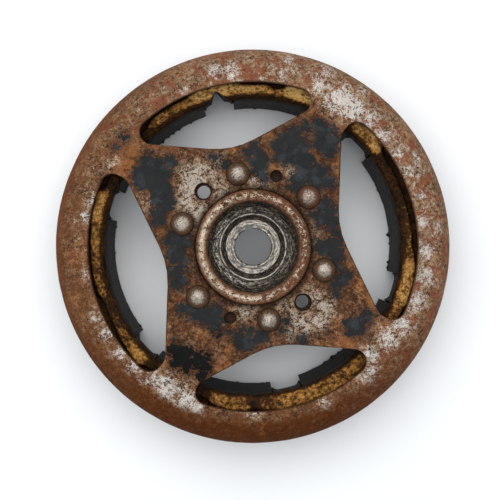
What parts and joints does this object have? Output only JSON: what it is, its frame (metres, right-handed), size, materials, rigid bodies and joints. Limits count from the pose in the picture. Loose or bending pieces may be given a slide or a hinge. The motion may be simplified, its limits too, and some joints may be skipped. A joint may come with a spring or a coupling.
{
  "type": "magneto flywheel rotor",
  "caption": "Magneto flywheel rotor: pressed steel bowl with windows in its web, a riveted hub with keyed taper bore and puller thread, and magnets and pole shoes in resin inside the rim.",
  "frame": {"origin": "centre of the rear rim face, on the wheel's axis", "axes": "+Z along the wheel's axis, out of the hub's collar; +Y through the keyway"},
  "size_m": [0.15, 0.15, 0.049],
  "materials": {
    "bowl_steel": "rusted sheet steel with remnants of dark blue-grey paint",
    "hub_steel": "turned steel, rusted and worn bright on its edges",
    "rivet_steel": "brown rust, worn bright on the crowns",
    "shoe_steel": "dark oiled steel with burrs",
    "magnet_ferrite": "dark sintered ferrite",
    "potting_resin": "rough honey-brown cast resin"
  },
  "bodies": {
    "root": {"flywheel_bowl": "bowl_steel", "hub": "hub_steel", "hub_rivet_1": "rivet_steel", "hub_rivet_2": "rivet_steel", "hub_rivet_3": "rivet_steel", "hub_rivet_4": "rivet_steel", "hub_rivet_5": "rivet_steel", "hub_rivet_6": "rivet_steel", "pole_shoe_1": "shoe_steel", "pole_shoe_2": "shoe_steel", "pole_shoe_3": "shoe_steel", "pole_shoe_4": "shoe_steel", "pole_shoe_5": "shoe_steel", "pole_shoe_6": "shoe_steel", "magnet_1": "magnet_ferrite", "magnet_2": "magnet_ferrite", "magnet_3": "magnet_ferrite", "magnet_4": "magnet_ferrite", "magnet_5": "magnet_ferrite", "magnet_6": "magnet_ferrite", "resin_ring": "potting_resin"}
  },
  "joints": []
}
